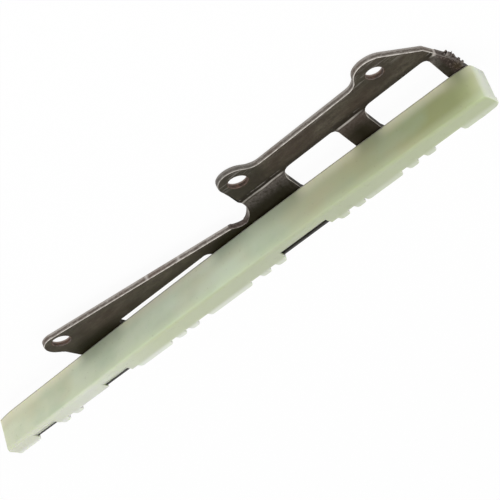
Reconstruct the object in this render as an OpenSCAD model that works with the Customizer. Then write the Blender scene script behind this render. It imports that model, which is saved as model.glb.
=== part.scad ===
// Timing chain guide: a stamped steel bracket with a moulded nylon wear shoe clipped on its flange.
// The origin is the middle bolt hole, on the bracket's mounting face. X runs along the rail,
// Y from the flange towards the bolt ears, and Z up from the mounting face.

/* [Rail] */
// Distance from the middle bolt hole to the left end of the shoe
left_reach = 152; // [140:0.5:170]
// Distance from the middle bolt hole to the right end of the shoe
right_reach = 83; // [80:0.5:100]
// Distance from the middle bolt hole to the front face of the flange
flange_offset = 24.6; // [23:0.1:30]
// Height of the flange above the legs
flange_height = 13.2; // [11:0.1:18]

/* [Bracket] */
// Thickness of the steel sheet
sheet = 2; // [1.6:0.1:2.4]
// Step in height from the arm up to the legs
joggle = 3.5; // [3:0.1:5]
// Inside radius of the bend between legs and flange
bend_radius = 1.5; // [1:0.1:2]
// Distance from the flange to the foot of the ramp, where the arm begins
step_foot = 13.3; // [12.5:0.1:14.5]
// Distance from the flange to the head of the ramp
step_head = 4; // [3:0.1:6]
// Distance from the foot of the ramp to the windows' outer edge
window_margin = 0.8; // [0.3:0.1:1.5]
// Radius of the middle ear
ear_radius = 7; // [6:0.1:7.5]
// Radius of the right ear
right_ear_radius = 7.7; // [7:0.1:8.5]
// Radius of the hollow between an ear and the arm
ear_fillet = 6; // [4:0.5:8]
// Distance of the arm's outer edge above the middle bolt hole
arm_rise = 0.8; // [-1:0.1:3]
// Radius of the rounded left tab
tab_radius = 6.5; // [5.5:0.1:8]
// Width of the wing beside the notch, measured from the flange
wing_tip = 9.4; // [8.5:0.1:10]
// Radius of the round notch between the wing and the middle ear
notch_radius = 5; // [4:0.1:5.5]
// Distance from the middle bolt hole back to the notch's centre
notch_inset = 13.5; // [13:0.1:15]
// Distance of the notch's centre from the flange
notch_offset = 12.6; // [12:0.1:13]
// Radius of the windows' left corners
left_corner = 4.5; // [1.5:0.1:5]
// Radius of the windows' right corners and of the wing slot's corners
right_corner = 2.2; // [1:0.1:4]
// Distance from the flange's right end to the corner under the right ear
shoulder_inset = 3.9; // [3:0.1:5]
// Distance of the corner under the right ear from the flange
shoulder_offset = 19; // [18:0.1:20]
// How much narrower the right leg is at the foot of the ramp
flare = 2.8; // [1:0.1:3.5]
// Distance from the flange at which the right leg reaches its full width
flare_offset = 7.6; // [7:0.1:9]

/* [Bolt holes] */
// Diameter of the left and middle bolt holes
bolt_hole = 7; // [5.5:0.1:8]
// Diameter of the locating hole in the right ear
locating_hole = 6; // [5:0.1:8]
// Distance from the left end of the shoe to the left bolt hole
left_hole_inset = 55; // [50:0.5:70]
// Distance of the left bolt hole from the flange
left_hole_offset = 19.4; // [18:0.1:22]
// Distance from the right end of the shoe to the locating hole
right_hole_inset = 21.8; // [21:0.1:26]
// Distance of the locating hole above the middle bolt hole
right_hole_rise = 0.7; // [-1:0.1:2]

/* [Legs] */
// Width of the left leg
left_leg = 23; // [18:0.5:28]
// Distance from the middle bolt hole to the inner end of the wing slot
slot_end = 32.5; // [28:0.5:36]
// Distance of the wing slot's outer edge from the flange
slot_depth = 7.2; // [5:0.1:7.5]
// Distance from the middle bolt hole to the first leg's right edge
first_leg = 10; // [9:0.1:14]
// Distance from the middle bolt hole to the second leg's left edge
second_leg_start = 34.9; // [30:0.1:36]
// Width of the second leg
second_leg = 11; // [10:0.1:15]
// Width of the right leg
right_leg = 6.3; // [5:0.1:8]

/* [Shoe] */
// Thickness of the running wall in front of the flange, at the crown
wall = 5.9; // [5:0.1:8]
// Radius of the crowned running face
crown_radius = 3600; // [3000:50:6000]
// Thickness of the lips behind the flange
lip = 2.5; // [1.8:0.1:3]
// Height of the lips behind the flange
lip_height = 5; // [3:0.1:7]
// How far the wall and the lugs reach past the free edge of the flange
wall_overhang = 0.9; // [0.7:0.1:1.2]
// Width of the short lugs
bump_width = 4.1; // [3:0.1:5]
// Radius of the lugs' corners
lug_radius = 1.2; // [0.5:0.1:1.6]
// How far the open stretches are cut below the free edge
open_setback = 0.2; // [0.1:0.1:1]
// Width of the sloping floor in front of an open stretch
open_slope = 2.4; // [1.5:0.1:3]
// Length of the caps past both ends of the flange
end_cap = 2.8; // [2:0.1:4]
// Width of the hooks in the windows
hook_width = 8; // [5:0.5:10]
// Length of the lead-ins at both ends of the running face
lead_length = 9; // [5:0.5:15]
// Drop of the lead-ins at the ends of the rail
lead_drop = 0.9; // [0.3:0.1:1.5]
// Radius that rounds the left end of the running face
left_round = 0.6; // [0.4:0.1:2]
// Radius that rounds the right end of the running face
right_round = 1.3; // [0.6:0.1:2.2]
// Radius of the left end's corner next to the legs
left_end_radius = 1; // [0.5:0.1:4]
// Radius of the right end's corner next to the legs
right_end_radius = 2.6; // [1:0.1:4]
// Thickness of the lip at the left end
left_lip = 1.6; // [1.4:0.1:3]
// Thickness of the lip at the right end
right_lip = 2.9; // [1.8:0.1:3.2]
// Radius of the right lip's outer corner
right_lip_radius = 2.6; // [1.3:0.1:2.8]
// Height of the lips at both ends
end_lip_height = 2; // [1.5:0.1:5]
// Clearance between the shoe and the steel
fit = 0.1; // [0.05:0.01:0.2]
// Gap between the shoe and the legs
seat_gap = 0.3; // [0.1:0.05:0.5]

/* [Hidden] */
$fn = 96;
// Flats that make up the crown, each lead-in and each rounded end of the running face
crown_count = 24;
lead_count = 5;
round_count = 6;
// A length past any face that a cut has to clear
past = 1;
// How far the tab's round end is set off its bolt hole, towards the left end and the flange
tab_shift = [1.3, 1.2];
// How far the right ear is set off its hole, along X and Y
right_ear_shift = [0.5, -0.4];
// How far the left leg is drawn in from the tab's round end
tab_waist = 2.1;
// How far inside the tab's round end the wing's outer edge starts, so that the two cross
tab_tuck = 0.03;
// Room between the bend and the shoe's relieved corner
bend_room = 0.5;
// Share of the notch's radius that lies left of the first leg
notch_share = 0.9;
// Size of the block that trims the wing to the ramp's twist
trim_block = 40;

rail_length = left_reach + right_reach;
rail_middle = (right_reach - left_reach) / 2;
flange_y = -flange_offset;
flange_left = -left_reach + end_cap;
flange_right = right_reach - end_cap;
leg_z = joggle;
leg_top = joggle + sheet;
flange_z = leg_top + flange_height;
left_hole = [-left_reach + left_hole_inset, flange_y + left_hole_offset];
right_hole = [right_reach - right_hole_inset, right_hole_rise];

// Lower edge of the flange wherever no leg carries it
flange_foot = leg_top + bend_radius + seat_gap;
foot_y = flange_y + step_foot;
head_y = flange_y + step_head;
ramp_slope = joggle / (step_foot - step_head);
arm_inner = foot_y + window_margin;
tab_centre = left_hole - tab_shift;
left_leg_start = tab_centre[0] - tab_radius + tab_waist;
left_leg_end = left_leg_start + left_leg;
right_leg_start = flange_right - right_leg;
second_leg_end = second_leg_start + second_leg;
notch = [-notch_inset, flange_y + notch_offset];
first_leg_start = notch[0] + notch_radius * notch_share;
// The sheet beside the notch twists from the ramp up to the wing: its fall along X, its tilt and its turn
twist_fall = (notch[1] - notch_radius - head_y) * ramp_slope / (first_leg_start - notch[0]);
twist_top = notch[1] - notch_radius * sqrt(1 - pow(notch_share, 2));
twist_tilt = atan(norm([twist_fall, ramp_slope]));
twist_turn = atan2(ramp_slope, twist_fall);

// Shoe levels and depths
shoe_z = leg_top + seat_gap;
wall_top = flange_z + wall_overhang;
open_top = flange_z - open_setback;
wall_back = flange_y + fit;
flange_back = flange_y - sheet;
lip_front = flange_back - fit;
lip_back = lip_front - lip;
back_relief = bend_radius + bend_room;

// Lugs and open stretches along the free edge, as shares of the rail from its left end
long_lugs = [[0.290, 0.362], [0.446, 0.534], [0.763, 0.829]];
bump_starts = [0.106, 0.137, 0.376, 0.404, 0.556, 0.587, 0.712, 0.7425, 0.841, 0.872];
left_lug = 0.0515;
right_lug = 0.938;
open_stretches = [[0.056, 0.105], [0.223, 0.2785], [0.6095, 0.700]];
// Height of the nylon in front of each open stretch, above the flange's free edge
open_rises = [0.65, 0.45, -0.1];
hook_places = [
    (left_leg_end - slot_end) / 2,
    (first_leg + second_leg_start) / 2,
    (second_leg_end + right_leg_start) / 2
];

function along(share) = -left_reach + share * rail_length;

// Fills the hollow corner at the origin between the +X and +Y directions
module corner_fill(radius) {
    difference() {
        square(radius);
        translate([radius, radius]) circle(radius);
    }
}

// A window or tab whose two corners at y1 are round
module round_window(x0, y0, x1, y1, left, right) {
    polygon([
        [x0, y0],
        [x1, y0],
        [x1, y1 - right],
        [x1 - right, y1],
        [x0 + left, y1],
        [x0, y1 - left]
    ]);
    translate([x0 + left, y1 - left]) circle(left);
    translate([x1 - right, y1 - right]) circle(right);
}

// A bolt ear, with the hollow that runs down to the arm's outer edge on one side
module ear(radius, rise, side) {
    foot_drop = arm_rise - rise;
    reach = sqrt(pow(radius + ear_fillet, 2) - pow(foot_drop + ear_fillet, 2));
    circle(radius);
    difference() {
        polygon([
            [0, foot_drop - sheet],
            [0, 0],
            [side * reach, foot_drop + ear_fillet],
            [side * reach, foot_drop - sheet]
        ]);
        translate([side * reach, foot_drop + ear_fillet]) circle(ear_fillet);
    }
}

// Plan of the stepped right part: two ears, the arm and three legs
module stepped_plan() {
    right_ear = right_hole + right_ear_shift;
    shoulder = [flange_right - shoulder_inset, flange_y + shoulder_offset];
    run = shoulder - right_ear;
    tangent = atan2(run[1], run[0]) + acos(right_ear_radius / norm(run));
    difference() {
        union() {
            ear(ear_radius, 0, 1);
            translate(right_ear) ear(right_ear_radius, right_ear[1], -1);
            polygon([
                [0, flange_back],
                [0, 0],
                [-ear_radius, 0],
                [first_leg_start, notch[1]],
                [first_leg_start, flange_back]
            ]);
            translate([0, flange_back]) square([right_ear[0], arm_rise - flange_back]);
            polygon([
                [right_ear[0], flange_back],
                right_ear,
                right_ear + right_ear_radius * [cos(tangent), sin(tangent)],
                shoulder,
                [flange_right - flare, foot_y],
                [flange_right, flange_y + flare_offset],
                [flange_right, flange_back]
            ]);
        }
        translate(notch) circle(notch_radius);
        round_window(first_leg, flange_back - past, second_leg_start, arm_inner, left_corner, right_corner);
        round_window(
            second_leg_end, flange_back - past, right_leg_start, arm_inner, left_corner, right_corner);
    }
}

// Plan of the flat left wing, tapering from the tab to the notch
module wing_plan() {
    tip = [notch[0], flange_y + wing_tip];
    run = tip - tab_centre;
    tangent = atan2(run[1], run[0]) + acos(tab_radius / norm(run));
    difference() {
        union() {
            translate(tab_centre) circle(tab_radius);
            polygon([
                [left_leg_start, flange_back],
                [left_leg_start, tab_centre[1] - tab_radius],
                tab_centre - [tab_radius, 0],
                tab_centre,
                tab_centre + (tab_radius - tab_tuck) * [cos(tangent), sin(tangent)],
                tip,
                [first_leg_start + past, notch[1] - notch_radius],
                [first_leg_start + past, flange_back]
            ]);
            twist_plan();
        }
        translate(notch) circle(notch_radius);
        slot_y = flange_y + slot_depth;
        round_window(left_leg_end, flange_back - past, -slot_end, slot_y, right_corner, right_corner);
    }
}

// Plan of the twisted corner under the notch
module twist_plan() {
    difference() {
        translate([notch[0], flange_y + bend_radius])
            square([first_leg_start + past - notch[0], twist_top - flange_y - bend_radius]);
        translate(notch) circle(notch_radius);
    }
}

// Tilts children from the level of the legs into the plane of the twisted corner
module twisted() {
    translate([first_leg_start, head_y, leg_top]) rotate([0, 0, twist_turn]) rotate([0, twist_tilt, 0])
        translate([-trim_block / 2, -trim_block / 2, 0]) children();
}

// A quarter of the bent sheet's section, from the +X axis to the +Y axis
module quarter_bend(inner) {
    intersection() {
        difference() {
            circle(inner + sheet);
            circle(inner);
        }
        square(inner + 2 * sheet);
    }
}

// Section of the flange's foot and its bend, drawn with Y to the right and Z up
module bend_section() {
    bend_top = leg_top + bend_radius;
    translate([flange_back, bend_top]) square([sheet, flange_foot + past - bend_top]);
    translate([flange_y + bend_radius, bend_top]) rotate(180) quarter_bend(bend_radius);
}

// Section of the bend and the level sheet beyond it
module flat_section(reach) {
    bend_section();
    translate([flange_y + bend_radius, leg_z]) square([reach - bend_radius, sheet]);
}

// Section of the bend and the sheet that ramps down to the arm
module stepped_section() {
    arm_end = 2 * ear_radius;
    bite = sheet * tan(atan(ramp_slope) / 2);
    bend_section();
    polygon([
        [flange_y + bend_radius, leg_z],
        [flange_y + bend_radius, leg_top],
        [head_y, leg_top],
        [foot_y, sheet],
        [arm_end, sheet],
        [arm_end, 0],
        [foot_y - bite, 0],
        [head_y - bite, leg_z]
    ]);
}

// Runs a section drawn in Y and Z along the whole bracket
module along_rail() {
    translate([-left_reach, 0, 0]) rotate([90, 0, 90]) linear_extrude(rail_length) children();
}

module bolt_bore(place, z, diameter) {
    translate([place[0], place[1], z - past]) cylinder(d = diameter, h = sheet + 2 * past);
}

module steel_bracket() {
    plan_height = flange_z + past;
    color([0.24, 0.22, 0.20]) difference() {
        union() {
            translate([flange_left, flange_back, flange_foot])
                cube([flange_right - flange_left, sheet, flange_z - flange_foot]);
            intersection() {
                along_rail() stepped_section();
                linear_extrude(plan_height) stepped_plan();
            }
            difference() {
                intersection() {
                    along_rail() flat_section(flange_offset + tab_radius);
                    linear_extrude(plan_height) wing_plan();
                }
                twisted() cube(trim_block);
            }
            intersection() {
                twisted() translate([0, 0, -sheet]) cube([trim_block, trim_block, sheet]);
                linear_extrude(leg_top) twist_plan();
            }
        }
        bolt_bore([0, 0], 0, bolt_hole);
        bolt_bore(right_hole, 0, locating_hole);
        bolt_bore(left_hole, leg_z, bolt_hole);
    }
}

// Drop of a rounded end of the running face, at a distance from the rail's middle
function round_drop(x, radius) =
    radius * (1 - sqrt(1 - pow(min(1, max(0, abs(x) - rail_length / 2 + radius) / radius), 2)));

// Distance of the running face from the flange, at a distance from the rail's middle
function face_depth(x) =
    wall - x * x / (2 * crown_radius)
    - lead_drop * pow(max(0, abs(x) - lead_start) / lead_length, 2)
    - round_drop(x, x < 0 ? left_round : right_round);

// Stations from a lead-in to the end of the rail, closest together on the rounded end
function end_steps(radius) = concat(
    [for (i = [1:lead_count]) lead_start + (lead_length - radius) * i / lead_count],
    [for (i = [1:round_count]) rail_length / 2 - radius * (1 - sin(90 * i / round_count))]
);

lead_start = rail_length / 2 - lead_length;
left_steps = end_steps(left_round);
right_steps = end_steps(right_round);
end_count = lead_count + round_count;
crown_steps = [for (i = [0:crown_count]) -lead_start + 2 * lead_start * i / crown_count];
stations = concat([for (i = [1:end_count]) -left_steps[end_count - i]], crown_steps, right_steps);

// Plan of the running wall, from its flat back to its crowned face
module wall_plan() {
    translate([rail_middle, flange_y]) polygon(concat(
        [for (x = stations) [x, face_depth(x)]],
        [[rail_length / 2, fit], [-rail_length / 2, fit]]
    ));
}

// Running wall in front of the flange, with its back corner relieved for the bend
module running_wall() {
    difference() {
        translate([0, 0, shoe_z]) linear_extrude(wall_top - shoe_z) wall_plan();
        translate([flange_left - fit, wall_back, shoe_z]) rotate([90, 0, 90])
            linear_extrude(flange_right - flange_left + 2 * fit)
                polygon([[-past, -past], [back_relief + past, -past], [-past, back_relief + past]]);
    }
}

// One stretch of the channel that grips the free edge, with its lip behind the flange
module lug(x0, x1, thickness, height) {
    back = thickness - lip_front;
    corner = min(lug_radius, thickness / 2);
    mirror([0, 1, 0]) {
        translate([0, 0, flange_z + fit]) linear_extrude(wall_overhang - fit)
            round_window(x0, -wall_back - past, x1, back, corner, corner);
        translate([0, 0, wall_top - height]) linear_extrude(height)
            round_window(x0, -lip_front, x1, back, corner, corner);
    }
}

// A hook under the flange's lower edge, inside a window
module window_hook(x) {
    x0 = x - hook_width / 2;
    foot_height = flange_foot - fit - shoe_z;
    translate([x0, lip_back, shoe_z])
        cube([hook_width, wall_back - lip_back + back_relief + past, foot_height]);
    translate([x0, lip_back, shoe_z]) cube([hook_width, lip, foot_height + lip_height - lip]);
}

// A solid cap past one end of the flange, as tall as the rail
module end_block(x0, x1) {
    translate([x0, lip_front, shoe_z])
        cube([x1 - x0, wall_back - lip_front + past, wall_top - shoe_z]);
}

// Bares the flange's free edge along one stretch, with a floor that slopes up to the wall
module open_cut(x0, x1, rise) {
    translate([x0, 0, 0]) rotate([90, 0, 90]) linear_extrude(x1 - x0) polygon([
        [lip_back - past, open_top],
        [wall_back, open_top],
        [wall_back, flange_z + rise],
        [flange_y + open_slope, wall_top],
        [flange_y + open_slope, wall_top + past],
        [lip_back - past, wall_top + past]
    ]);
}

// Cuts the outer corner of the lip at the right end
module lip_corner_cut() {
    translate([right_reach, lip_front - right_lip, shoe_z]) linear_extrude(wall_top - shoe_z + past)
        mirror([1, 0]) corner_fill(right_lip_radius);
}

// Cuts the corner where an end of the rail meets its lower long edge
module end_corner_cut(x, side, radius) {
    translate([x, flange_y + wall + past, shoe_z]) rotate([90, 0, 0])
        linear_extrude(wall - lip_back + flange_y + 2 * past)
            mirror([side > 0 ? 1 : 0, 0]) corner_fill(radius);
}

module nylon_shoe() {
    color([0.72, 0.77, 0.63]) difference() {
        union() {
            running_wall();
            translate([-left_reach, flange_back, flange_z + fit])
                cube([rail_length, wall_back - flange_back + past, wall_overhang - fit]);
            for (stretch = long_lugs) lug(along(stretch[0]), along(stretch[1]), lip, lip_height);
            for (start = bump_starts) lug(along(start), along(start) + bump_width, lip, lip_height);
            lug(-left_reach, along(left_lug), left_lip, end_lip_height);
            lug(along(right_lug), right_reach, right_lip, end_lip_height);
            for (x = hook_places) window_hook(x);
            end_block(-left_reach, flange_left - fit);
            end_block(flange_right + fit, right_reach);
        }
        for (i = [0:len(open_stretches) - 1])
            open_cut(along(open_stretches[i][0]), along(open_stretches[i][1]), open_rises[i]);
        end_corner_cut(-left_reach, -1, left_end_radius);
        end_corner_cut(right_reach, 1, right_end_radius);
        lip_corner_cut();
    }
}

steel_bracket();
nylon_shoe();
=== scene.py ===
"""Looks of the timing chain guide: an oiled steel bracket and its translucent nylon shoe."""
import math
import random

import bmesh
import bpy
from mathutils import Matrix, Vector


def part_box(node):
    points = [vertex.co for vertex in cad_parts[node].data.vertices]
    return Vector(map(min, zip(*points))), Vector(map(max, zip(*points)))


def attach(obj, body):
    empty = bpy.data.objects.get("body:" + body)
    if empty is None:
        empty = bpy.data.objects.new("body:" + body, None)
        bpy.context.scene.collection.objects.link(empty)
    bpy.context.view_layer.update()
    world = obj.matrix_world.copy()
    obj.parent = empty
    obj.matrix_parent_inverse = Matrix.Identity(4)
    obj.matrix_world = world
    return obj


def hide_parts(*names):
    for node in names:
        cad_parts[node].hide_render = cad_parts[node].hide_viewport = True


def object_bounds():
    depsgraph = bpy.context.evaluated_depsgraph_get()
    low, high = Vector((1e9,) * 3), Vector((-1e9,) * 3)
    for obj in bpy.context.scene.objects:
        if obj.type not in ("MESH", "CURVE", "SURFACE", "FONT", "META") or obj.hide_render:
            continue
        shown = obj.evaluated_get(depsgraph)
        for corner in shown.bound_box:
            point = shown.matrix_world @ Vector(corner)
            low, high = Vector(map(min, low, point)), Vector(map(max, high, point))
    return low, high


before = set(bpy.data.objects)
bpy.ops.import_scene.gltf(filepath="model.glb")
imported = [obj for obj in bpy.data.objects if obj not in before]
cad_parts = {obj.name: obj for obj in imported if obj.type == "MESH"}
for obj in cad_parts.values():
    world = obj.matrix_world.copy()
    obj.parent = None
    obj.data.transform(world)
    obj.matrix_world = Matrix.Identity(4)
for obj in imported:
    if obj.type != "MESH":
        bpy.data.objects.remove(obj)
cad_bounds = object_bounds()

MM = 0.001
IMAGE_PX = 500

# Camera, solved from the photograph: place, viewing direction and picture-up, in the part's frame
CAMERA_AT = Vector((235.77, 371.98, 267.90)) * MM
CAMERA_FORWARD = Vector((-0.476, -0.737, -0.479))
CAMERA_UP = Vector((0.528, 0.196, -0.827))
FOCAL_PX = 1562.5
SENSOR_WIDTH = 36.0
CLIP_START = 0.01

# Studio: share of plain white in the floor, its size and drop, the world's light, and the two lamps
FLOOR_WHITE = 0.95
FLOOR_HALF = 6.0
FLOOR_DROP = 0.5 * MM
WORLD_LIGHT = 0.78
LAMP_SIZE = 0.9
LAMP_DISTANCE = 0.9
KEY_SIDE = Vector((0.2, 0.45, 0.87))
KEY_POWER = 2.2
FILL_SIDE = Vector((0.75, 0.35, 0.55))
FILL_POWER = 0.6

# Cleaning of the CAD meshes: points that merge, faces that count as one, and bends that stay crisp
MERGE_LENGTH = 0.02 * MM
FLAT_ANGLE = math.radians(0.6)
CREASE_ANGLE = math.radians(12)
BEVEL_ANGLE = math.radians(28)

# Rounding of the shoe: its edges, the running face's free edge, and the CAD's own roundings at its ends
NYLON_BEVEL = 0.3 * MM
NYLON_FILLET = 1.2 * MM
LEFT_ROUND = 0.6 * MM
RIGHT_ROUND = 2.7 * MM
ROUND_REACH = 1.1
END_SHARE = 0.45
FILLET_SEGMENTS = 5

# Rounding of the sheet: its edges, the rolled upper ones, and how far its outer cut edges lean out
STEEL_BEVEL = 0.22 * MM
ROLLED_BEVEL = 0.45 * MM
FLARE = 0.35 * MM
BEVEL_SEGMENTS = 3

# Edges that stay sharp: thin points, faces narrower than this many roundings, and the slot round the flange
POINT_ANGLE = math.radians(20)
FACE_ROOM = 1.2
SLOT_ROOM = 0.15 * MM

# Limits on the direction that a face points in, as parts of its normal
LEVEL_RISE = 0.99
SLIGHT_LEAN = 0.05
OUTER_SIDE = -0.4
SIDE_RISE = 0.3
BACK_RISE = -0.85
CUT_RISE = 0.88
WORN_RISE = (0.6, 0.93)
FLARE_START = 0.3
FLARE_SPAN = 0.5

# Levels and lines of the part that the roundings and the materials follow
SHEET = 2.0 * MM
LEG_LEVEL = 3.5 * MM
RAMP_FOOT_Y = -11.3 * MM
RAMP_HEAD_Y = -20.6 * MM
ROLLED_END_Y = -17.2 * MM
FLANGE_Y = -24.6 * MM
FIRST_LEG_X = -9.0 * MM
SLOT_RIGHT_X = -30.0 * MM
# Ends of the shoe, and its upper and lower edges as the photograph shows them
SHOE_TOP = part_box("nylon_shoe")[0][2]
SHOE_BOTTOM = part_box("nylon_shoe")[1][2]
SHOE_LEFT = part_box("nylon_shoe")[0][0]
SHOE_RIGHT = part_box("nylon_shoe")[1][0]
# Holes of the bracket, in millimetres: centre and radius; then their rim, and where their rust fades out
HOLES = [(0.0, 0.0, 3.5), (-97.0, -5.2, 3.5), (61.2, 0.7, 3.0)]
HOLE_RIM = 0.6
RUST_START = 0.1
RUST_END = 0.5

# Round marks on the sheet, and one painted highlight, the glint, in millimetres: centre, inner and outer
# radius
NOTCH = (-13.5, -12.0, 5.3, 5.7)
MIDDLE_EAR = (0.0, 0.0, 8.0, 10.0)
TONGUE = (79.2, -19.2, 0.8, 2.2)
GLINT = (76.9, -11.0, 0.35, 1.0)
# Darker skin on the ears: centre, inner and outer radius in millimetres, and strength
EAR_SHADES = [(0.0, -2.0, 6.0, 12.0, 0.65), (61.2, 0.7, 4.5, 9.5, 0.38), (-97.0, -5.2, 7.0, 16.0, 0.35)]

# Stretches along the rail, in millimetres: steel behind the shoe, legs with a worn crease, the russet leg,
# and trimming ticks
BACKED = [(-103.0, -80.0), (-32.0, 10.0), (34.9, 45.9), (73.9, 80.0)]
CREASED = [(-9.5, 10.6), (35.2, 46.0), (75.6, 77.6)]
RUSSET = [(34.0, 47.0)]
TICKS = [(-53.8, -53.2), (-40.0, -39.6), (-17.8, -17.2)]

# Bands of tone, each from where it starts to where it is full, in millimetres.
# On the shoe, from its upper edge, its lower edge or the flange
# Painted shade where the steel backs the shoe
BACKED_SHADE_BAND = (8.0, 1.0)
# Painted light along the upper edge
RIM_LIGHT_BAND = (4.8, 0.5)
# Painted shade: a thin dark line at the upper edge
EDGE_SHADE_BAND = (0.65, 0.3)
# Painted light towards the lower edge
LOWER_LIGHT_BAND = (-4.6, -1.2)
# Painted light on the lug tips past the flange
LIT_TIP_BAND = (-0.9, -3.4)
# On the sheet, from the origin
# Painted shade along the arm's inner edge
INNER_EDGE_SHADE_Y = (-7.4, -9.2)
# Painted shade and olive reflection of the shoe
SHOE_SHADE_Y = (-10.5, -17.0)
RUBBED_Y = (-1.6, 0.6)
WORN_Y = (-18.0, -12.5)
LOW_CUT_X = (-10.0, -12.0)
TORN_X = (76.0, 77.5)
TORN_Y = (-10.8, -11.8)
FLANGE_Z = (7.5, 9.0)
# On the sheet, from the first leg, the slot's upper end or the foot of the ramps
ARM_BAND = (-0.5, 0.5)
WING_BAND = (0.5, -0.5)
SLOT_BAND = (-0.2, 0.2)
RAMP_BAND = (0.0, -1.0)
# Painted shade in the hollow above the foot of the ramps
HOLLOW_SHADE_BAND = (3.6, 2.0)
HOLLOW_SHADE_END = (0.4, 1.0)
# Bright lines by the foot of the ramps, worn metal with a painted highlight: distance from it, and the band
# on both sides of each line
CREASE_WOBBLE = 0.25 * MM
CREASE_AT = 0.25 * MM
CREASE_BAND = (0.65, 0.15)
SECOND_AT = 2.3 * MM
SECOND_BAND = (0.4, 0.1)

# Torn metal on the right leg's outer edge: number of chips, the line they lie along, and their shapes,
# whose reach and push are in millimetres
BURR_SEED = 11
BURR_CHIPS = 18
BURR_START = Vector((78.8, -13.6, 2.2)) * MM
BURR_END = Vector((80.3, -19.6, 4.4)) * MM
CHIP_REACH = (0.4, 1.0)
CHIP_PUSH_X = (-0.2, 0.6)
CHIP_PUSH_Z = (-0.7, 0.7)
CHIP_JITTER = (0.55, 1.3)
CHIP_LONG = 1.5
CHIP_FLAT = 0.7
CHIP_WORN = 0.15


def srgb(red, green, blue):
    """A linear colour from 8-bit picture values."""
    def linear(value):
        value /= 255
        return value / 12.92 if value <= 0.04045 else ((value + 0.055) / 1.055) ** 2.4
    return (linear(red), linear(green), linear(blue), 1.0)


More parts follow.
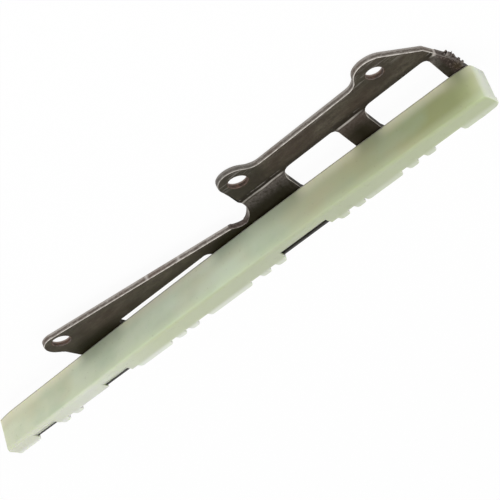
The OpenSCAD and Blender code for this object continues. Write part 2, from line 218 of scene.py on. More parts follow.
class Graph:
    """Short calls for building a material's nodes."""

    def __init__(self, name):
        self.material = bpy.data.materials.new(name)
        self.material.use_nodes = True
        self.tree = self.material.node_tree
        self.tree.nodes.clear()
        self.output = self.add("ShaderNodeOutputMaterial")

    def add(self, kind, **inputs):
        node = self.tree.nodes.new(kind)
        for key, value in inputs.items():
            self.put(node, key, value)
        return node

    def feed(self, socket, value):
        """Links a socket to another node's output, or sets it to a plain value."""
        if isinstance(value, bpy.types.NodeSocket):
            self.tree.links.new(value, socket)
        else:
            socket.default_value = value

    def put(self, node, key, value):
        """Feeds a node's input, given by its number or by its name with _ for each space."""
        socket = node.inputs[key] if isinstance(key, int) else node.inputs[key.replace("_", " ")]
        self.feed(socket, value)

    def place(self, scale=(1, 1, 1), shift=(0, 0, 0)):
        coords = self.add("ShaderNodeTexCoord")
        mapping = self.add("ShaderNodeMapping", Vector=coords.outputs["Object"])
        mapping.inputs["Scale"].default_value = scale
        mapping.inputs["Location"].default_value = shift
        return mapping.outputs["Vector"]

    def noise(self, scale, detail=4.0, rough=0.55, stretch=(1, 1, 1), shift=(0, 0, 0)):
        node = self.add("ShaderNodeTexNoise", Vector=self.place(stretch, shift))
        node.inputs["Scale"].default_value = scale
        node.inputs["Detail"].default_value = detail
        node.inputs["Roughness"].default_value = rough
        return node.outputs["Fac"]

    def ramp(self, value, stops):
        node = self.add("ShaderNodeValToRGB", Fac=value)
        points = node.color_ramp.elements
        while len(points) < len(stops):
            points.new(0.5)
        for point, (place, colour) in zip(points, stops):
            point.position = place
            point.color = colour if len(colour) == 4 else (*colour, 1.0)
        return node.outputs["Color"]

    def grey_ramp(self, value, low, high, start=0.0, end=1.0):
        node = self.add("ShaderNodeMapRange", Value=value)
        for key, number in zip(("From Min", "From Max", "To Min", "To Max"), (low, high, start, end)):
            node.inputs[key].default_value = number
        return node.outputs["Result"]

    def mix(self, factor, first, second):
        node = self.tree.nodes.new("ShaderNodeMix")
        node.data_type = "RGBA"
        for key, value in (("Factor_Float", factor), ("A_Color", first), ("B_Color", second)):
            self.feed(next(s for s in node.inputs if s.identifier == key), value)
        return next(s for s in node.outputs if s.identifier == "Result_Color")

    def math(self, operation, first, second):
        node = self.tree.nodes.new("ShaderNodeMath")
        node.operation = operation
        for socket, value in zip(node.inputs, (first, second)):
            self.feed(socket, value)
        return node.outputs["Value"]

    def both(self, first, second):
        """White where two masks are both white."""
        return self.math("MULTIPLY", first, second)

    def tint(self, base, mask, share, colour):
        """Lays a share of a colour over a base where the mask is white."""
        return self.mix(self.math("MULTIPLY", mask, share), base, colour)

    def axis(self, name):
        split = self.add("ShaderNodeSeparateXYZ", Vector=self.place())
        return split.outputs[name]

    def facing(self, name):
        """One part of the direction that the surface faces, in the part's own axes."""
        split = self.add("ShaderNodeSeparateXYZ", Vector=self.add("ShaderNodeTexCoord").outputs["Normal"])
        return split.outputs[name]

    def smooth(self, value, low, high):
        """Rises smoothly from 0 at low to 1 at high, which may be the smaller number."""
        node = self.add("ShaderNodeMapRange", Value=value)
        node.interpolation_type = "SMOOTHSTEP"
        node.inputs["From Min"].default_value = min(low, high)
        node.inputs["From Max"].default_value = max(low, high)
        node.inputs["To Min"].default_value = 0.0 if low < high else 1.0
        node.inputs["To Max"].default_value = 1.0 if low < high else 0.0
        return node.outputs["Result"]

    def band(self, value, base, span):
        """Rises smoothly from 0 to 1 over a span in millimetres, measured from a base in metres."""
        return self.smooth(value, base + span[0] * MM, base + span[1] * MM)

    def stretches(self, along, spans, soft):
        """White along the rail inside the given stretches, black elsewhere."""
        length = SHOE_RIGHT - SHOE_LEFT
        stops = []
        for first, last in spans:
            start = (first * MM - SHOE_LEFT) / length
            end = (last * MM - SHOE_LEFT) / length
            stops += [(start - soft, (0, 0, 0)), (start + soft, (1, 1, 1))]
            stops += [(end - soft, (1, 1, 1)), (end + soft, (0, 0, 0))]
        return self.ramp(along, stops)

    def around(self, x, y, inner, outer):
        """White inside a round place of the plan, black outside it, in millimetres."""
        node = self.add("ShaderNodeVectorMath")
        node.operation = "DISTANCE"
        self.put(node, 0, self.place((1, 1, 0)))
        node.inputs[1].default_value = (x * MM, y * MM, 0)
        return self.smooth(node.outputs["Value"], outer * MM, inner * MM)

    def attribute(self, name):
        node = self.add("ShaderNodeAttribute")
        node.attribute_name = name
        return node.outputs["Fac"]

    def bump(self, height, strength, distance):
        node = self.add("ShaderNodeBump", Height=height)
        node.inputs["Strength"].default_value = strength
        node.inputs["Distance"].default_value = distance
        return node.outputs["Normal"]


def nylon_colour(g):
    """Pale green, olive towards the right; painted light makes it lighter at the ends, thin edges, lug tips
    and underside, and painted shade darkens it where the steel backs it and along its upper edge.
    """
    along = g.grey_ramp(g.axis("X"), SHOE_LEFT, SHOE_RIGHT)
    level = g.axis("Z")
    tone = g.ramp(along, [
        (0.00, srgb(216, 220, 195)),
        (0.12, srgb(208, 214, 190)),
        (0.30, srgb(209, 217, 193)),
        (0.50, srgb(207, 217, 197)),
        (0.68, srgb(193, 200, 172)),
        (0.88, srgb(167, 170, 126)),
        (0.958, srgb(160, 167, 122)),
        (0.978, srgb(172, 180, 134)),
        (0.990, srgb(194, 201, 160)),
        (1.00, srgb(210, 216, 188)),
    ])
    warm = g.grey_ramp(g.noise(34, 2.0, 0.5, (1, 2, 2)), 0.50, 0.68)
    tone = g.tint(tone, warm, 0.4, srgb(192, 184, 150))
    cool = g.grey_ramp(g.noise(48, 3.0, 0.55, (1, 1, 1.5), (0.3, 0.1, 0.2)), 0.48, 0.66)
    tone = g.tint(tone, cool, 0.38, srgb(172, 190, 164))
    backed = g.stretches(along, BACKED, soft=0.012)
    bare = g.math("SUBTRACT", 1.0, backed)
    # Painted shade: darker near the upper edge where the steel backs the nylon
    upper = g.both(backed, g.band(level, SHOE_TOP, BACKED_SHADE_BAND))
    tone = g.tint(tone, upper, 0.48, srgb(138, 146, 124))
    # Painted light: a lighter rim along the upper edge where no steel backs the nylon
    rim_light = g.both(g.band(level, SHOE_TOP, RIM_LIGHT_BAND), bare)
    tone = g.tint(tone, rim_light, 0.65, srgb(228, 225, 202))
    # Painted light: lighter towards the lower edge, less at the left end
    lower = g.band(level, SHOE_BOTTOM, LOWER_LIGHT_BAND)
    lower = g.both(lower, g.grey_ramp(along, 0.10, 0.35, 0.02, 0.34))
    tone = g.mix(lower, tone, srgb(216, 226, 192))
    # Painted light: faces turned towards the lamps, the underside and lugs, get lighter tones of their own
    underside_lit_tone = g.ramp(along, [
        (0.05, srgb(206, 209, 190)),
        (0.20, srgb(209, 213, 198)),
        (0.36, srgb(187, 194, 164)),
        (0.62, srgb(178, 184, 158)),
        (1.00, srgb(176, 184, 150)),
    ])
    tone = g.mix(g.smooth(g.facing("Z"), 0.0, 0.85), tone, underside_lit_tone)
    # Painted light: faces turned along the rail, the shoe's ends, are made lighter
    tone = g.mix(g.smooth(g.facing("X"), 0.1, 0.95), tone, srgb(214, 218, 203))
    # Painted shade: a thin dark line right at the upper edge
    tone = g.tint(tone, g.band(level, SHOE_TOP, EDGE_SHADE_BAND), 0.8, srgb(128, 124, 112))
    # Painted light: whiter lug tips past the flange, where light comes through the nylon, most at the left
    lit_tips = g.band(g.axis("Y"), FLANGE_Y, LIT_TIP_BAND)
    lit_tips = g.both(lit_tips, g.grey_ramp(along, 0.4, 0.7, 0.95, 0.4))
    tone = g.mix(lit_tips, tone, srgb(220, 223, 214))
    speck = g.grey_ramp(g.noise(900, 2.0, 0.5), 0.66, 0.74)
    return g.tint(tone, speck, 0.25, srgb(150, 146, 120))


def nylon_material():
    """Translucent satin nylon."""
    g = Graph("green_nylon")
    shader = g.add("ShaderNodeBsdfPrincipled", Base_Color=nylon_colour(g))
    shader.inputs["Subsurface Weight"].default_value = 1.0
    shader.inputs["Subsurface Radius"].default_value = (0.9, 1.0, 0.7)
    shader.inputs["Subsurface Scale"].default_value = 1.6 * MM
    shader.inputs["Specular IOR Level"].default_value = 0.35
    g.put(shader, "Roughness", g.grey_ramp(g.noise(350, 4.0), 0.3, 0.7, 0.38, 0.52))
    g.put(shader, "Normal", g.bump(g.noise(420, 3.0), 0.1, 0.12 * MM))
    g.tree.links.new(shader.outputs["BSDF"], g.output.inputs["Surface"])
    return g.material


def on_arm(g):
    """White on the legs and the stepped-down arm, black on the wing."""
    return g.band(g.axis("X"), FIRST_LEG_X, ARM_BAND)


def on_wing(g):
    """White on the wing, black on the legs and the arm."""
    return g.band(g.axis("X"), FIRST_LEG_X, WING_BAND)


def sheet_depth(g):
    """Share of the way from the back of the sheet, 0, to its upper face, 1."""
    base = g.grey_ramp(g.axis("Y"), RAMP_FOOT_Y, RAMP_HEAD_Y, 0.0, LEG_LEVEL)
    base = g.math("MAXIMUM", base, g.math("MULTIPLY", on_wing(g), LEG_LEVEL))
    return g.math("DIVIDE", g.math("SUBTRACT", g.axis("Z"), base), SHEET)


def sheared_colour(g, along):
    """Bare cut edge: a burnished band, a torn dark band and a bright corner, in turn across the sheet."""
    rough = g.noise(900, 5.0, 0.7, (0.18, 0.4, 1))
    across = g.math("ADD", sheet_depth(g), g.grey_ramp(rough, 0.25, 0.75, -0.14, 0.14))
    bands = g.ramp(across, [
        (0.04, srgb(172, 166, 160)),
        (0.30, srgb(158, 151, 145)),
        (0.48, srgb(100, 92, 85)),
        (0.70, srgb(92, 84, 77)),
        (0.90, srgb(164, 157, 150)),
    ])
    flecks = g.grey_ramp(g.noise(1500, 4.0, 0.7, (0.4, 0.7, 1)), 0.5, 0.64)
    bands = g.tint(bands, flecks, 0.5, srgb(176, 171, 164))
    stain = g.grey_ramp(g.noise(90, 4.0), 0.5, 0.66)
    bands = g.tint(bands, stain, 0.45, srgb(98, 80, 70))
    bands = g.tint(bands, on_arm(g), 0.2, srgb(84, 80, 72))
    return g.tint(bands, g.stretches(along, TICKS, soft=0.0006), 0.9, srgb(222, 217, 212))


def oiled_skin(g, grain):
    """Rolled skin of the sheet: dark and speckled, brown and olive in places, darker on the ears."""
    streak = g.noise(420, 4.0, 0.65, (0.35, 1, 1))
    face = g.ramp(streak, [(0.36, srgb(56, 49, 40)), (0.50, srgb(70, 64, 53)), (0.64, srgb(84, 77, 66))])
    speckle = g.ramp(grain, [(0.38, srgb(40, 34, 27)), (0.62, srgb(100, 93, 82))])
    face = g.mix(0.3, face, speckle)
    brown = g.grey_ramp(g.noise(110, 5.0, 0.6, (0.5, 1, 1)), 0.46, 0.62)
    face = g.tint(face, brown, 0.5, srgb(54, 40, 33))
    olive = g.grey_ramp(g.noise(80, 3.0, 0.55, (1, 1, 1), (0.2, 0.4, 0.1)), 0.46, 0.64)
    face = g.tint(face, olive, 0.2, srgb(58, 57, 45))
    for x, y, inner, outer, share in EAR_SHADES:
        face = g.tint(face, g.around(x, y, inner, outer), share, srgb(40, 37, 28))
    return face


def crease_shade_and_highlight(g, face, along, depth):
    """A bright line on the bend at the foot of the ramps, worn metal with a painted highlight, a fainter
    bright line beside it, and painted shade in the hollow above them.
    """
    wobble = g.grey_ramp(g.noise(70, 2.0), 0.3, 0.7, -CREASE_WOBBLE, CREASE_WOBBLE)
    from_foot = g.math("ADD", g.math("SUBTRACT", depth, RAMP_FOOT_Y), wobble)
    creased = g.stretches(along, CREASED, soft=0.004)
    # Painted shade in the hollow above the foot of the ramps
    hollow = g.both(g.band(from_foot, 0.0, HOLLOW_SHADE_BAND), g.band(from_foot, 0.0, HOLLOW_SHADE_END))
    face = g.tint(face, g.both(hollow, creased), 0.75, srgb(34, 27, 20))
    # Bright line of worn metal with a painted highlight on the bend at the foot of the ramps
    line = g.math("ABSOLUTE", g.math("SUBTRACT", from_foot, CREASE_AT), 0.0)
    line = g.both(g.band(line, 0.0, CREASE_BAND), creased)
    line = g.both(line, g.grey_ramp(g.noise(240, 3.0), 0.34, 0.56, 0.3, 1.0))
    face = g.mix(line, face, srgb(172, 166, 160))
    second = g.math("ABSOLUTE", g.math("SUBTRACT", from_foot, SECOND_AT), 0.0)
    second = g.both(g.band(second, 0.0, SECOND_BAND), creased)
    second = g.both(second, g.grey_ramp(g.noise(300, 3.0), 0.46, 0.60, 0.0, 0.7))
    return g.mix(second, face, srgb(134, 128, 122))


def steel_face_colour(g, along, grain):
    """Upper face of the sheet: oiled skin, with painted shade on the arm's inner edge, painted light on the
    greyer ramps, painted shade and olive reflection by the shoe, and rubbed on the arm.
    """
    depth = g.axis("Y")
    face = oiled_skin(g, grain)
    arm = on_arm(g)
    below_foot = g.band(depth, RAMP_FOOT_Y, RAMP_BAND)
    above_foot = g.math("SUBTRACT", 1.0, below_foot)
    # Painted shade: darker along the arm's inner edge, above the foot of the ramps
    inner_edge_shade = g.both(arm, g.band(depth, 0.0, INNER_EDGE_SHADE_Y))
    face = g.tint(face, g.both(inner_edge_shade, above_foot), 0.6, srgb(32, 28, 20))
    # Grain of the ramps, with painted light: lighter grey where the ramps tilt up towards the lamps; russet
    # on one leg
    ramp_grain_and_light = g.ramp(g.noise(800, 5.0, 0.75), [(0.35, srgb(56, 50, 47)), (0.65, srgb(124, 117, 112))])
    ramp_grain_and_light = g.tint(ramp_grain_and_light, g.stretches(along, RUSSET, soft=0.01), 0.6, srgb(78, 62, 54))
    face = g.tint(face, g.both(arm, below_foot), 0.7, ramp_grain_and_light)
    backed = g.stretches(along, BACKED, soft=0.02)
    # Painted shade and painted reflection of the green shoe: dark olive next to it, strongest where steel
    # runs under it
    shoe_shade_and_reflection = g.band(depth, 0.0, SHOE_SHADE_Y)
    shoe_shade_and_reflection = g.both(shoe_shade_and_reflection, g.grey_ramp(backed, 0.0, 1.0, 0.5, 0.97))
    face = g.mix(shoe_shade_and_reflection, face, srgb(24, 20, 2))
    face = crease_shade_and_highlight(g, face, along, depth)
    rubbed = g.both(arm, g.band(depth, 0.0, RUBBED_Y))
    scratches = g.grey_ramp(g.noise(1000, 4.0, 0.6, (0.12, 1, 1)), 0.52, 0.66)
    return g.tint(face, g.both(rubbed, scratches), 0.6, srgb(128, 123, 117))


def worn_share(g, notch, ear):
    """Strength of the bright worn corners: broken, weaker in the notch and on the ear, none by the shoe."""
    gaps = g.grey_ramp(g.noise(620, 5.0, 0.7), 0.40, 0.54, 0.25, 1.0)
    gaps = g.both(gaps, g.grey_ramp(notch, 0.0, 1.0, 1.0, 0.25))
    gaps = g.both(gaps, g.grey_ramp(ear, 0.0, 1.0, 1.0, 0.55))
    above_slot = g.both(on_wing(g), g.band(g.axis("Y"), ROLLED_END_Y, SLOT_BAND))
    clear_of_shoe = g.math("MAXIMUM", above_slot, g.band(g.axis("Y"), 0.0, WORN_Y))
    return g.both(g.attribute("worn"), g.both(gaps, clear_of_shoe))


def edge_marks(g, colour):
    """Adds the browner cut edges of notch and ear, the worn corners, and on the right leg a spot and a
    painted highlight glint.
    """
    notch = g.around(*NOTCH)
    ear = g.around(*MIDDLE_EAR)
    brown_cut = g.both(notch, g.attribute("sheared"))
    colour = g.tint(colour, brown_cut, 0.55, srgb(84, 70, 62))
    low_cut = g.both(brown_cut, g.band(g.axis("X"), 0.0, LOW_CUT_X))
    low_cut = g.both(low_cut, g.grey_ramp(g.noise(700, 4.0, 0.7), 0.36, 0.58, 0.3, 0.8))
    colour = g.mix(low_cut, colour, srgb(58, 47, 43))
    colour = g.tint(colour, g.both(ear, g.attribute("sheared")), 0.4, srgb(84, 84, 80))
    colour = g.mix(worn_share(g, notch, ear), colour, srgb(214, 208, 200))
    colour = g.tint(colour, g.around(*TONGUE), 0.55, srgb(88, 78, 42))
    # Painted highlight: a glint on the fold of the right leg
    return g.tint(colour, g.around(*GLINT), 0.8, srgb(196, 188, 182))


def rust_and_tears(g, colour):
    """Adds the rust in the holes, the torn edge of the right leg and the mottled flange."""
    rust = g.ramp(g.noise(600, 4.0, 0.6), [(0.35, srgb(38, 25, 19)), (0.65, srgb(100, 72, 58))])
    lip = g.smooth(sheet_depth(g), 0.45, 0.15)
    rust = g.tint(rust, lip, 0.6, srgb(196, 174, 160))
    for x, y, radius in HOLES:
        inside = g.around(x, y, radius + RUST_START, radius + RUST_END)
        colour = g.tint(colour, inside, 0.75, rust)
    torn = g.both(g.band(g.axis("X"), 0.0, TORN_X), g.band(g.axis("Y"), 0.0, TORN_Y))
    torn_grain = g.ramp(g.noise(1300, 4.0, 0.7), [
        (0.40, srgb(40, 31, 28)),
        (0.56, srgb(72, 60, 55)),
        (0.70, srgb(136, 125, 118)),
    ])
    colour = g.tint(colour, torn, 0.7, torn_grain)
    mottle = g.ramp(g.noise(260, 4.0, 0.6), [(0.35, srgb(34, 33, 30)), (0.65, srgb(56, 54, 50))])
    return g.tint(colour, g.band(g.axis("Z"), 0.0, FLANGE_Z), 0.7, mottle)


def steel_material():
    """Dark oiled sheet steel with bare cut edges and worn corners."""
    g = Graph("oiled_steel")
    along = g.grey_ramp(g.axis("X"), SHOE_LEFT, SHOE_RIGHT)
    grain = g.noise(1700, 5.0, 0.75, (0.7, 1, 1))
    face = steel_face_colour(g, along, grain)
    colour = g.mix(g.attribute("sheared"), face, sheared_colour(g, along))
    colour = rust_and_tears(g, edge_marks(g, colour))
    shader = g.add("ShaderNodeBsdfPrincipled", Base_Color=colour)
    shader.inputs["Metallic"].default_value = 0.1
    shader.inputs["Specular IOR Level"].default_value = 0.15
    g.put(shader, "Roughness", g.grey_ramp(grain, 0.3, 0.7, 0.42, 0.6))
    g.put(shader, "Normal", g.bump(g.noise(1700, 4.0, 0.7, (0.7, 1, 1)), 0.35, 0.09 * MM))
    g.tree.links.new(shader.outputs["BSDF"], g.output.inputs["Surface"])
    return g.material


def clean_copy(node, name):
    """A copy of a CAD node's mesh with its flat triangles merged into whole faces."""
    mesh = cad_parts[node].data.copy()
    mesh.name = name
    bm = bmesh.new()
    bm.from_mesh(mesh)
    bmesh.ops.remove_doubles(bm, verts=bm.verts, dist=MERGE_LENGTH)
    bmesh.ops.dissolve_limit(
        bm, angle_limit=FLAT_ANGLE, verts=bm.verts, edges=bm.edges, delimit=set())
    bmesh.ops.recalc_face_normals(bm, faces=bm.faces)
    bm.to_mesh(mesh)
    bm.free()
    mesh.materials.clear()
    for attribute in [a for a in mesh.attributes if a.name == "custom_normal"]:
        mesh.attributes.remove(attribute)
    piece = bpy.data.objects.new(name, mesh)
    bpy.context.scene.collection.objects.link(piece)
    return piece


def apply_modifiers(piece):
    """Turns the piece's modifiers into its mesh."""
    graph = bpy.context.evaluated_depsgraph_get()
    mesh = bpy.data.meshes.new_from_object(piece.evaluated_get(graph))
    piece.modifiers.clear()
    piece.data = mesh


def mark_creases(piece):
    """Keeps the light bends of the sheet crisp."""
    bm = bmesh.new()
    bm.from_mesh(piece.data)
    for edge in bm.edges:
        if len(edge.link_faces) == 2:
            edge.smooth = not CREASE_ANGLE < edge.calc_face_angle(0.0) < BEVEL_ANGLE
    bm.to_mesh(piece.data)
    bm.free()


def square_left_end(piece):
    """Draws the small rounding at the running face's left end into one corner, to be rounded again."""
    reach = ROUND_REACH * LEFT_ROUND
    bm = bmesh.new()
    bm.from_mesh(piece.data)
    near = [vert for vert in bm.verts if vert.co.x < SHOE_LEFT + reach and vert.co.y > FLANGE_Y]
    face_y = max(vert.co.y for vert in near)
    for vert in near:
        if vert.co.y > face_y - reach:
            vert.co.x = SHOE_LEFT
            vert.co.y = face_y
    bmesh.ops.remove_doubles(bm, verts=bm.verts, dist=MERGE_LENGTH)
    bm.to_mesh(piece.data)
    bm.free()


def bevel_by_weight(piece, width, segments, weigh):
    """Rounds a piece's edges, each by the share of the width that weigh gives it."""
    bm = bmesh.new()
    bm.from_mesh(piece.data)
    floats = bm.edges.layers.float
    weights = floats.get("bevel_weight_edge") or floats.new("bevel_weight_edge")
    for edge in bm.edges:
        edge[weights] = weigh(edge)
    bm.to_mesh(piece.data)
    bm.free()
    bevel = piece.modifiers.new("edges", "BEVEL")
    bevel.width = width
    bevel.segments = segments
    bevel.limit_method = "WEIGHT"
    bevel.use_clamp_overlap = False
    bevel.harden_normals = False
    apply_modifiers(piece)


def middle_of(edge):
    """The point halfway along an edge."""
    return (edge.verts[0].co + edge.verts[1].co) / 2


def fillet_share(edge):
    """Share of the large rounding: whole along the running face's free edge, less round the right end."""
    if len(edge.link_faces) != 2:
        return 0.0
    upright, level = sorted(edge.link_faces, key=lambda face: face.normal.z)
    outward = max(upright.normal.x, upright.normal.y)
    if level.normal.z < LEVEL_RISE or abs(upright.normal.z) > SLIGHT_LEAN or outward < SLIGHT_LEAN:
        return 0.0
    middle = middle_of(edge)
    if middle.y > FLANGE_Y + SHEET:
        return 1.0 - (1.0 - END_SHARE) * max(upright.normal.x, 0.0)
    return END_SHARE if middle.x > SHOE_RIGHT - RIGHT_ROUND else 0.0


def narrow(face, edge, width):
    """Says whether a face is too narrow, measured across one of its edges, to take a rounding there."""
    return face.calc_area() < width * edge.calc_length()


def pointed(face, edge):
    """Says whether a face runs out to a thin point at one end of an edge."""
    corners = [loop for loop in face.loops if edge in (loop.edge, loop.link_loop_prev.edge)]
    return any(loop.calc_angle() < POINT_ANGLE for loop in corners)


def is_sharp(edge, width):
    """Says whether an edge is rounded: a sharp one, but for slivers, thin points and the flange's slot."""
    if len(edge.link_faces) != 2 or edge.calc_face_angle(0.0) < BEVEL_ANGLE:
        return False
    if any(pointed(face, edge) for face in edge.link_faces):
        return False
    if any(narrow(face, edge, FACE_ROOM * width) for face in edge.link_faces):
        return False
    return any(abs(vert.co.y - FLANGE_Y + SHEET / 2) > SHEET / 2 + SLOT_ROOM for vert in edge.verts)


def near_hole(place):
    """Says whether a place lies on the rim or wall of one of the bracket's holes."""
    for x, y, radius in HOLES:
        if math.hypot(place.x - x * MM, place.y - y * MM) < (radius + HOLE_RIM) * MM:
            return True
    return False


def is_rolled(edge):
    """Says whether an edge is an upper outer one, drawn down by the punch."""
    normals = sorted((face.normal for face in edge.link_faces), key=lambda normal: normal.z)
    middle = middle_of(edge)
    outer = normals[0].y > OUTER_SIDE and middle.y > ROLLED_END_Y
    return outer and normals[-1].z > LEVEL_RISE and not near_hole(middle)


def steel_share(edge):
    """Share of the steel's widest rounding that an edge gets."""
    if not is_sharp(edge, STEEL_BEVEL):
        return 0.0
    return 1.0 if is_rolled(edge) else STEEL_BEVEL / ROLLED_BEVEL


def flare_cut_edges(piece):
    """Leans the outer cut edges outwards towards the back of the sheet, as a punch leaves them."""
    bm = bmesh.new()
    bm.from_mesh(piece.data)
    moves = []
    for vert in bm.verts:
        sides = [face.normal for face in vert.link_faces if abs(face.normal.z) < SIDE_RISE]
        on_back = any(face.normal.z < BACK_RISE for face in vert.link_faces)
        if sides and on_back and vert.co.y > RAMP_HEAD_Y and not near_hole(vert.co):
            outward = sum(sides, Vector()).normalized()
            share = min(max((outward.y - FLARE_START) / FLARE_SPAN, 0.0), 1.0)
            moves.append((vert, Vector((outward.x, outward.y, 0)) * FLARE * share))
    for vert, move in moves:
        vert.co += move
    bm.to_mesh(piece.data)
    bm.free()


def shade_smooth(piece):
    """Shades a piece smooth, with its large faces kept flat."""
    for polygon in piece.data.polygons:
        polygon.use_smooth = True
    weighted = piece.modifiers.new("normals", "WEIGHTED_NORMAL")
    weighted.keep_sharp = True
    apply_modifiers(piece)


def mark_steel(piece):
    """Marks the sheet's cut edges, and the corners between them and its upper face."""
    mesh = piece.data
    sheared = mesh.attributes.new("sheared", "FLOAT", "FACE")
    worn = mesh.attributes.new("worn", "FLOAT", "FACE")
    for polygon in mesh.polygons:
        rise = polygon.normal.z
        lowest = ROLLED_END_Y if polygon.center.x < SLOT_RIGHT_X else FLANGE_Y + 2 * SHEET
        clear = polygon.center.y > lowest
        sheared.data[polygon.index].value = 1.0 if clear and abs(rise) < CUT_RISE else 0.0
        points = [mesh.vertices[index].co for index in polygon.vertices]
        longest = max((first - last).length for first, last in zip(points, points[1:] + points[:1]))
        slim = polygon.area < ROLLED_BEVEL * longest
        leaning = WORN_RISE[0] < rise < WORN_RISE[1]
        worn.data[polygon.index].value = 1.0 if clear and slim and leaning else 0.0


def finish_piece(piece, node, material):
    """Gives a piece its material and its place in the part."""
    piece.data.materials.append(material)
    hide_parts(node)
    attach(piece, "root")


def torn_burr():
    """Chips of torn metal along the outer edge of the right leg, where the strip was cut off."""
    pick = random.Random(BURR_SEED)
    bm = bmesh.new()
    for step in range(BURR_CHIPS):
        spot = BURR_START.lerp(BURR_END, step / (BURR_CHIPS - 1))
        chip = bmesh.ops.create_icosphere(bm, subdivisions=1, radius=1.0)
        reach = pick.uniform(*CHIP_REACH) * MM
        push = Vector((pick.uniform(*CHIP_PUSH_X), 0, pick.uniform(*CHIP_PUSH_Z))) * MM
        angle = pick.uniform(0, math.pi)
        axis = Vector((pick.random(), pick.random(), 1)).normalized()
        turn = Matrix.Rotation(angle, 3, axis)
        for vert in chip["verts"]:
            jitter = pick.uniform(*CHIP_JITTER)
            shape = Vector((vert.co.x * CHIP_LONG, vert.co.y, vert.co.z * CHIP_FLAT))
            vert.co = spot + turn @ (shape * jitter * reach) + push
    mesh = bpy.data.meshes.new("burr")
    bm.to_mesh(mesh)
    bm.free()
    for name in ("sheared", "worn"):
        mark = mesh.attributes.new(name, "FLOAT", "FACE")
        for polygon in mesh.polygons:
            marked = name == "sheared" or pick.random() < CHIP_WORN
            mark.data[polygon.index].value = 1.0 if marked else 0.0
    piece = bpy.data.objects.new("burr", mesh)
    bpy.context.scene.collection.objects.link(piece)
    return piece


def dressed_bracket():
    """The bracket with its rounded and marked edges, and the burr on its right leg."""
    piece = clean_copy("steel_bracket", "bracket")
    mark_creases(piece)
    flare_cut_edges(piece)
    bevel_by_weight(piece, ROLLED_BEVEL, BEVEL_SEGMENTS, steel_share)
    shade_smooth(piece)
    mark_steel(piece)
    material = steel_material()
    finish_piece(piece, "steel_bracket", material)
    burr = torn_burr()
    burr.data.materials.append(material)
    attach(burr, "root")


def dressed_shoe():
    """The shoe with its large fillet and its rounded edges."""
    piece = clean_copy("nylon_shoe", "shoe")
    square_left_end(piece)
    bevel_by_weight(piece, NYLON_FILLET, FILLET_SEGMENTS, fillet_share)
    bevel_by_weight(piece, NYLON_BEVEL, BEVEL_SEGMENTS, lambda edge: float(is_sharp(edge, NYLON_BEVEL)))
    shade_smooth(piece)
    finish_piece(piece, "nylon_shoe", nylon_material())


def camera():
    """The photograph's camera."""
    forward = CAMERA_FORWARD.normalized()
    right = forward.cross(CAMERA_UP).normalized()
    up = right.cross(forward)
    data = bpy.data.cameras.new("camera")
    data.sensor_width = SENSOR_WIDTH
    data.lens = FOCAL_PX / IMAGE_PX * data.sensor_width
    data.clip_start = CLIP_START
    obj = bpy.data.objects.new("camera", data)
    turn = Matrix((right, up, -forward)).transposed().to_4x4()
    obj.matrix_world = Matrix.Translation(CAMERA_AT) @ turn
    bpy.context.scene.collection.objects.link(obj)
    bpy.context.scene.camera = obj


def area_light(name, side, target, power):
    """A soft round lamp that stands to one side of a point and faces it."""
    data = bpy.data.lights.new(name, "AREA")
    data.shape = "DISK"
    data.size = LAMP_SIZE
    data.energy = power
    obj = bpy.data.objects.new(name, data)
    place = target + side * LAMP_DISTANCE
    obj.location = place
    obj.rotation_euler = (target - place).to_track_quat("-Z", "Y").to_euler()
    bpy.context.scene.collection.objects.link(obj)


def seen_share(tree, share):
    """The share of white that camera, mirror and see-through rays get."""
    path = tree.nodes.new("ShaderNodeLightPath")
    value = path.outputs["Is Camera Ray"]
    for name in ("Is Glossy Ray", "Is Transmission Ray"):
        either = tree.nodes.new("ShaderNodeMath")
        either.operation = "MAXIMUM"
        tree.links.new(value, either.inputs[0])
        tree.links.new(path.outputs[name], either.inputs[1])
        value = either.outputs["Value"]
    part = tree.nodes.new("ShaderNodeMath")
    part.operation = "MULTIPLY"
    tree.links.new(value, part.inputs[0])
    part.inputs[1].default_value = share
    return part.outputs["Value"]


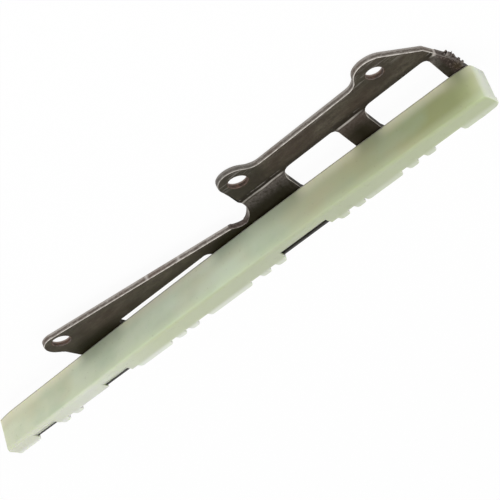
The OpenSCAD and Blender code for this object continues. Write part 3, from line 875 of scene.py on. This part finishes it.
def stage_floor(level):
    """A wide pale floor that keeps a faint shadow of the object."""
    g = Graph("floor")
    speckle = g.ramp(g.noise(9, 2.0), [(0.3, (0.9, 0.9, 0.9)), (0.7, (0.93, 0.93, 0.93))])
    diffuse = g.add("ShaderNodeBsdfDiffuse", Color=speckle)
    white = g.add("ShaderNodeEmission")
    mixed = g.add("ShaderNodeMixShader", Fac=seen_share(g.tree, FLOOR_WHITE))
    g.put(mixed, 1, diffuse.outputs["BSDF"])
    g.put(mixed, 2, white.outputs["Emission"])
    g.tree.links.new(mixed.outputs["Shader"], g.output.inputs["Surface"])
    half = FLOOR_HALF
    mesh = bpy.data.meshes.new("floor")
    mesh.from_pydata(
        [(-half, -half, level), (half, -half, level), (half, half, level), (-half, half, level)],
        [], [(0, 1, 2, 3)])
    mesh.materials.append(g.material)
    floor = bpy.data.objects.new("floor", mesh)
    bpy.context.scene.collection.objects.link(floor)


def studio_world():
    """Even soft light from all round, white where it is seen."""
    world = bpy.data.worlds.new("studio")
    world.use_nodes = True
    tree = world.node_tree
    tree.nodes.clear()
    output = tree.nodes.new("ShaderNodeOutputWorld")
    light = tree.nodes.new("ShaderNodeBackground")
    light.inputs["Color"].default_value = (1, 1, 1, 1)
    light.inputs["Strength"].default_value = WORLD_LIGHT
    white = tree.nodes.new("ShaderNodeBackground")
    white.inputs["Color"].default_value = (1, 1, 1, 1)
    mixed = tree.nodes.new("ShaderNodeMixShader")
    tree.links.new(seen_share(tree, 1.0), mixed.inputs[0])
    tree.links.new(light.outputs["Background"], mixed.inputs[1])
    tree.links.new(white.outputs["Background"], mixed.inputs[2])
    tree.links.new(mixed.outputs["Shader"], output.inputs["Surface"])
    bpy.context.scene.world = world


dressed_bracket()
dressed_shoe()

camera()
stage_floor(cad_bounds[0][2] - FLOOR_DROP)
studio_world()
part_middle = (Vector(cad_bounds[0]) + Vector(cad_bounds[1])) / 2
area_light("key", KEY_SIDE, part_middle, KEY_POWER)
area_light("fill", FILL_SIDE, part_middle, FILL_POWER)

bpy.context.scene.view_settings.view_transform = "Standard"
